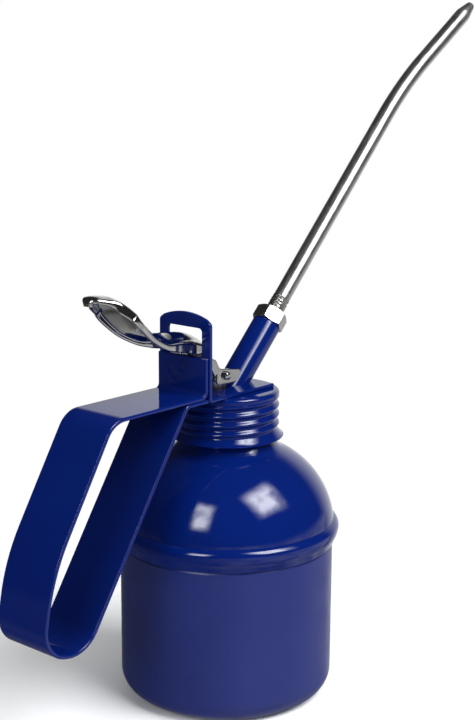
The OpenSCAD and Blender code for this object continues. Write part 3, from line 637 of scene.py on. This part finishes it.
def thumb_lever():
    build = Build()
    curve = catmull(LEVER_STATIONS, 10)
    axis = [Vector(s[:2]) for s in curve]
    rings = []
    for i, s in enumerate(curve):
        side = side_of(axis, i)
        rings.append([(s[0] - q[1] * side.x, q[0], HEAD_Z + s[1] - q[1] * side.y)
                      for q in lever_section(s[2], s[3], s[4])])
    build.grid(rings, cap_ends=True)
    arm_x, arm_z = PUMP_X - PLATE_X, PIN_Z - SILL
    f = math.radians(SWING)
    lift = arm_x * math.sin(f) + arm_z * (math.cos(f) - 1)
    slot = Vector((arm_x * math.cos(f) + (arm_z + lift) * math.sin(f) - arm_x,
                   (arm_z + lift) * math.cos(f) - arm_x * math.sin(f) - arm_z))
    turn = math.degrees(math.atan2(slot.y, slot.x))
    r = PIN_R + 0.25
    hole = (arc(PUMP_X, PIN_Z, r, turn + 90, turn + 270, 14)
            + arc(PUMP_X + slot.x, PIN_Z + slot.y, r, turn - 90, turn + 90, 14))
    cheek = list(reversed(soften(fork_outline(), 1.4)))
    for side in (-1, 1):
        y0 = side * (TAIL_HALF_W - LEVER_T / 2)
        build.plate(cheek, [hole], LEVER_T - 0.14, 0.3, lambda p, y0=y0: (p[0], y0 + p[2], HEAD_Z + p[1]))
    return build.make("thumb_lever_pressing", "lever", ["thumb_lever"], LEVER_CHROME,
                      sharp=50)


def spout_boss():
    def low_end(rho):
        """The boss's lower end, fitted to the pump head, its spigot and the head's flat top."""
        def end(a):
            x, y = rho * math.cos(a), rho * math.sin(a)
            for radius in (PUMP_HEAD_R, SPIGOT_R):
                if abs(y) >= radius:
                    continue
                s = (PUMP_X + math.sqrt(radius ** 2 - y ** 2) - BOSS_X - x * COS_B) / SIN_B
                z = s * COS_B - x * SIN_B
                if (z <= -CAP_WALL) == (radius == PUMP_HEAD_R):
                    return rho, s
            return rho, (-CAP_WALL + x * SIN_B) / COS_B
        return end

    edge, bore = 0.7, FERRULE_R + RUN_GAP
    outer = [low_end(BOSS_R), lambda a: (BOSS_R, 9.0)] + [(BOSS_R, s) for s in (14, 20, 26)]
    outer += arc(BOSS_R - edge, BOSS_LEN - edge, edge, 0, 90, 6)
    inner = [(bore + 0.3, BOSS_LEN), (bore, BOSS_LEN - 0.3), (bore, BOSS_LEN - FERRULE_IN - 0.3),
             (2.7, BOSS_LEN - FERRULE_IN - 0.3), (2.7, 14.2), (1.6, 14.2), low_end(1.6)]
    build = Build()
    build.lathe(outer + inner, 96, on_boss)
    return build.make("spout_socket", "head", ["spout_boss"], GLOSS_PAINT)


# ---------------------------------------------------------------- spout

def lock_nut():
    n, flat_r = 144, NUT_AF / 2
    rim = flat_r * 0.985
    turn = math.radians(NUT_TURN)
    bore = FERRULE_R + RUN_GAP

    def hex_r(a):
        return flat_r / math.cos(((a - turn) % (PI / 3)) - PI / 6)

    def bevel(a):
        return max(0.0, hex_r(a) - rim) * math.tan(math.radians(30))

    low = BOSS_LEN + RUN_GAP
    high = low + NUT_H
    profile = [(bore, low + 0.35), (bore + 0.35, low), (rim, low)]
    profile += [lambda a: (hex_r(a), low + bevel(a)), lambda a: (hex_r(a), high - bevel(a))]
    profile += [(rim, high), (bore + 0.35, high), (bore, high - 0.35)]
    build = Build()
    build.lathe(profile, n, on_boss)
    return build.make("spout_nut", "spout", ["spout_lock_nut"], ZINC, sharp=28, weighted=False)


def ferrule():
    low, high, pitch, cut = BOSS_LEN - FERRULE_IN, TUBE_START, 1.4, 0.45
    end = high - 1.1
    rows = 170

    def row(i):
        z = low + (end - low) * i / rows

        def at(a):
            phase = ((z - low) / pitch - a / (2 * PI)) % 1.0
            tooth = min(1.0, max(0.0, 1.35 - abs(phase - 0.5) * 4.2))
            fade = smoothstep(z, low, low + 0.8) * (1 - smoothstep(z, end - 0.7, end))
            return FERRULE_R - cut + cut * tooth * fade, z
        return at

    collar = TUBE_R + 0.1
    profile = [row(i) for i in range(rows + 1)]
    profile += [(FERRULE_R - 0.3, high - 0.95), (collar - 0.1, high - 0.8), (collar, high - 0.65),
                (collar, high - 0.12), (collar - 0.12, high), (1.9, high), (1.9, low)]
    build = Build()
    build.lathe(profile, 72, on_boss)
    return build.make("threaded_ferrule", "spout", ["spout_ferrule"], THREAD, sharp=50,
                      weighted=False)


def spout_tube():
    """Sweeps the tube's round section up its centre line, then back down the bore."""
    line = [(0.0, s, 0.0) for s in (0, 1, 10, 30, 50, 70, 90, 100)]
    for k in range(33):
        f = math.radians(BEND_A * k / 32)
        line.append((BEND_R * (1 - math.cos(f)), TUBE_LOW + BEND_R * math.sin(f), f))
    x0, s0, f = line[-1]
    bend_end = len(line)
    marks = [5, 15, 30, TUBE_UP - 1.2, TUBE_UP - 0.4, TUBE_UP + 0.4, TUBE_UP + 1.4, TUBE_UP + 4,
             TUBE_UP + TIP_LEN - 0.5]
    for d in marks:
        line.append((x0 + d * math.sin(f), s0 + d * math.cos(f), f))
    end = TUBE_UP + TIP_LEN

    def radius(j):
        along = marks[j - bend_end] if j >= bend_end else 0.0
        t = max(0.0, (along - TUBE_UP) / TIP_LEN)
        if abs(along - TUBE_UP) < 1:
            t = max(t, 0.012)
        return TUBE_R + (TIP_R - TUBE_R) * t

    sections = [(x, s, f, radius(j)) for j, (x, s, f) in enumerate(line)]
    tip = lambda d: (x0 + d * math.sin(f), s0 + d * math.cos(f), f)
    for k in range(1, 7):
        a = PI * k / 6
        sections.append((*tip(end - 0.33 + 0.33 * math.sin(a)), TIP_R - TUBE_WALL / 2 + 0.35 * math.cos(a)))
    for d, r in ((TUBE_UP + 4, 2.0), (TUBE_UP, TUBE_R - TUBE_WALL), (20, TUBE_R - TUBE_WALL)):
        sections.append((*tip(d), r))
    for x, s, g in reversed(line[1:bend_end:4]):
        sections.append((x, s, g, TUBE_R - TUBE_WALL))
    sections.append((0.0, 0.02, 0.0, TUBE_R - TUBE_WALL))
    n, rings = 64, []
    for x, s, g, r in sections:
        rings.append([on_boss((x + r * math.cos(b) * math.cos(g), r * math.sin(b), TUBE_START + s
                               - r * math.cos(b) * math.sin(g))) for b in (2 * PI * k / n for k in range(n))])
    build = Build()
    build.grid(rings, wrap_rows=True)
    return build.make("spout_pipe", "spout", ["spout_tube"], SPOUT_CHROME, sharp=50)


# ---------------------------------------------------------------- pump pieces that show

def plunger_pin():
    half, head_r, head_h = 7.3, 1.5, 0.7
    dome = [(head_r * math.cos(f), half + 0.22 + (head_h - 0.22) * math.sin(f))
            for f in (PI / 2 * k / 6 for k in range(7))]
    right = [(PIN_R, half), (head_r, half + 0.02)] + dome
    profile = [(r, -z) for r, z in reversed(right)] + right
    build = Build()
    build.lathe(profile, 48, lambda p: on_pump((p[0], p[2], PIN_Z + p[1])))
    return build.make("fork_pin", "plunger", ["plunger_pin"], LEVER_CHROME, sharp=50)


HOLES = [cylinder_cutter(SPIGOT_R + RUN_GAP, -5, 7, on_pump),
         cylinder_cutter(BOSS_R + RUN_GAP, -14, 16, on_boss)]
can_body()
can_shoulder()
cap()
handle_strap()
lever_bracket()
thumb_lever()
spout_boss()
lock_nut()
ferrule()
spout_tube()
plunger_pin()
for cutter in HOLES:
    bpy.data.objects.remove(cutter)

CAD_FINISH = {
    "zinc": (ZINC, ["plunger_rod", "gland_nut", "suction_tube"]),
    "brass": (BRASS, ["piston_body", "piston_nut", "pump_head", "pump_barrel", "foot_valve_seat",
                      "foot_valve_stop", "suction_strainer", "outlet_valve_seat"]),
    "spring_steel": (STEEL, ["return_spring", "foot_valve_ball", "outlet_valve_ball"]),
    "rubber": (RUBBER, ["cap_gasket"]),
    "cup_leather": (LEATHER, ["piston_cup"]),
    "packing": (PACKING, ["gland_packing"]),
}
for slot_name, (material, names) in CAD_FINISH.items():
    for node_name in names:
        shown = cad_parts[node_name]
        shown.data.materials.clear()
        shown.data.materials.append(material)


# ---------------------------------------------------------------- studio

AZ, PITCH_A, ROLL = math.radians(-49.63), math.radians(12.06), math.radians(0.375)
RIGHT_H = Vector((math.cos(AZ), math.sin(AZ), 0))
TOWARDS = Vector((math.sin(AZ), -math.cos(AZ), 0))
UP = Vector((0, 0, 1))


def camera():
    forward = -TOWARDS * math.cos(PITCH_A) - UP * math.sin(PITCH_A)
    up0 = -TOWARDS * math.sin(PITCH_A) + UP * math.cos(PITCH_A)
    right = RIGHT_H * math.cos(ROLL) + up0 * math.sin(ROLL)
    up = -RIGHT_H * math.sin(ROLL) + up0 * math.cos(ROLL)
    data = bpy.data.cameras.new("camera")
    data.lens, data.sensor_width, data.sensor_fit = 70.17, 36, "AUTO"
    data.clip_start, data.clip_end = 0.01, 60
    cam = bpy.data.objects.new("camera", data)
    place = (RIGHT_H * 4.04 + TOWARDS * 543.96 + UP * 252.3) * MM
    turn = Matrix((right, up, -forward)).transposed().to_4x4()
    cam.matrix_world = Matrix.Translation(place) @ turn
    bpy.context.scene.collection.objects.link(cam)
    bpy.context.scene.camera = cam


def direction(side, elevation):
    """A direction given by its angle from the camera's side, clockwise seen from below, and its height."""
    a, e = math.radians(side), math.radians(elevation)
    return (TOWARDS * math.cos(a) + RIGHT_H * math.sin(a)) * math.cos(e) + UP * math.sin(e)


def softbox(name, side, elevation, distance, width, height, radiance, tint=(1, 1, 1)):
    data = bpy.data.lights.new(name, "AREA")
    data.shape, data.size, data.size_y = "RECTANGLE", width, height
    data.energy = radiance * PI * width * height
    data.color = tint
    light = bpy.data.objects.new(name, data)
    towards = direction(side, elevation)
    light.matrix_world = (Matrix.Translation(towards * distance + Vector((0, 0, 0.08)))
                          @ towards.to_track_quat("Z", "Y").to_matrix().to_4x4())
    light.visible_camera = False
    light.visible_glossy = False
    bpy.context.scene.collection.objects.link(light)


def sphere(name, radius, paint, **seen):
    mesh = bpy.data.meshes.new(name)
    bm = bmesh.new()
    bmesh.ops.create_uvsphere(bm, u_segments=48, v_segments=24, radius=radius)
    bmesh.ops.reverse_faces(bm, faces=bm.faces)
    bm.to_mesh(mesh)
    bm.free()
    ball = bpy.data.objects.new(name, mesh)
    mat = bpy.data.materials.new(name)
    mat.use_nodes = True
    tree = mat.node_tree
    tree.nodes.clear()
    out = tree.nodes.new("ShaderNodeOutputMaterial")
    glow = tree.nodes.new("ShaderNodeEmission")
    tree.links.new(glow.outputs[0], out.inputs["Surface"])
    paint(tree, glow)
    mesh.materials.append(mat)
    for kind in ("camera", "diffuse", "glossy", "transmission", "volume_scatter", "shadow"):
        setattr(ball, "visible_" + kind, seen.get(kind, False))
    bpy.context.scene.collection.objects.link(ball)


def studio_walls(tree, glow):
    """What shiny surfaces mirror: a pale table, a dark room and a pale wall behind the can."""
    co = tree.nodes.new("ShaderNodeTexCoord").outputs["Object"]

    def along(axis, lo, hi):
        node = tree.nodes.new("ShaderNodeVectorMath")
        node.operation = "DOT_PRODUCT"
        node.inputs[1].default_value = axis / 8.0
        tree.links.new(co, node.inputs[0])
        out = ramp(tree, node.outputs["Value"], lo, hi)
        out.node.interpolation_type = "SMOOTHSTEP"
        return out

    def window(side, elevation, half_w, half_h, soft, strength):
        """A soft-edged bright patch, uneven like a cloth over a lamp."""
        towards = direction(side, elevation)
        level = towards.cross(UP).normalized()
        inside = along(towards, 0.0, 0.1)
        for axis, half in ((level, half_w), (level.cross(towards), half_h)):
            inside = add(tree, inside, along(axis, -half - soft, -half + soft), "MULTIPLY")
            inside = add(tree, inside, along(-axis, -half - soft, -half + soft), "MULTIPLY")
        cloth = ramp(tree, noise(tree, co, 0.3, 3, 0.6), 0.38, 0.6, 0.35, 1.15)
        return add(tree, add(tree, inside, cloth, "MULTIPLY"), strength, "MULTIPLY")

    behind = along((-TOWARDS + 0.3 * RIGHT_H).normalized(), 0.72, 0.97)
    not_high = along(-UP, -0.75, -0.35)
    table = along(-UP, -0.02, 0.12)
    table = add(tree, table, add(tree, along(RIGHT_H, -0.7, 0.5), 0.12), "MULTIPLY")
    table = add(tree, table, ramp(tree, noise(tree, co, 0.35, 3), 0.35, 0.6, 0.3, 1.2), "MULTIPLY")
    wall = add(tree, behind, not_high, "MULTIPLY")
    pale = add(tree, add(tree, wall, 0.95, "MULTIPLY"), add(tree, table, 0.5, "MULTIPLY"), "MAXIMUM")
    bright = add(tree, window(-29, 33, 0.14, 0.25, 0.08, 11.0), window(60, 47, 0.26, 0.22, 0.12, 14.0))
    tree.links.new(add(tree, add(tree, pale, bright), 0.03), glow.inputs["Strength"])


def white_room(_tree, glow):
    glow.inputs["Color"].default_value = (1, 1, 1, 1)
    glow.inputs["Strength"].default_value = 1.0


def studio():
    world = bpy.data.worlds.new("studio")
    world.use_nodes = True
    world.node_tree.nodes["Background"].inputs["Color"].default_value = (1, 1, 1, 1)
    world.node_tree.nodes["Background"].inputs["Strength"].default_value = 0.22
    bpy.context.scene.world = world
    mesh = bpy.data.meshes.new("floor")
    bm = bmesh.new()
    bmesh.ops.create_circle(bm, cap_ends=True, segments=96, radius=7.5)
    bm.to_mesh(mesh)
    bm.free()
    floor = bpy.data.objects.new("floor", mesh)
    floor.location = (0, 0, -0.0002)
    mat, tree, shader, co = nodes_of("floor_paper")
    tone = ramp(tree, noise(tree, co, 6, 4), 0.3, 0.7)
    tree.links.new(blend_colour(tree, tone, (0.9, 0.9, 0.9), (0.93, 0.93, 0.93)), shader.inputs["Base Color"])
    shader.inputs["Roughness"].default_value = 0.9
    far = tree.nodes.new("ShaderNodeVectorMath")
    far.operation = "LENGTH"
    tree.links.new(co, far.inputs[0])
    mix = tree.nodes.new("ShaderNodeMixShader")
    sweep = ramp(tree, far.outputs["Value"], 0.1, 0.3)
    sweep.node.interpolation_type = "SMOOTHSTEP"
    tree.links.new(sweep, mix.inputs["Fac"])
    glow = tree.nodes.new("ShaderNodeEmission")
    glow.inputs["Strength"].default_value = 1.0
    tree.links.new(shader.outputs[0], mix.inputs[1])
    tree.links.new(glow.outputs[0], mix.inputs[2])
    tree.links.new(mix.outputs[0], tree.nodes["Material Output"].inputs["Surface"])
    mesh.materials.append(mat)
    floor.visible_glossy = False
    bpy.context.scene.collection.objects.link(floor)
    sphere("backdrop", 7.6, white_room, camera=True)
    sphere("studio_walls", 8.0, studio_walls, glossy=True)
    softbox("left_softbox", -29, 33, 1.15, 0.5, 0.6, 7.0, (0.96, 0.98, 1.0))
    softbox("right_softbox", 60, 47, 1.15, 0.85, 0.76, 10.5, (0.97, 0.98, 1.0))


camera()
studio()
bpy.context.scene.view_settings.view_transform = "Standard"
bpy.context.scene.view_settings.look = "None"
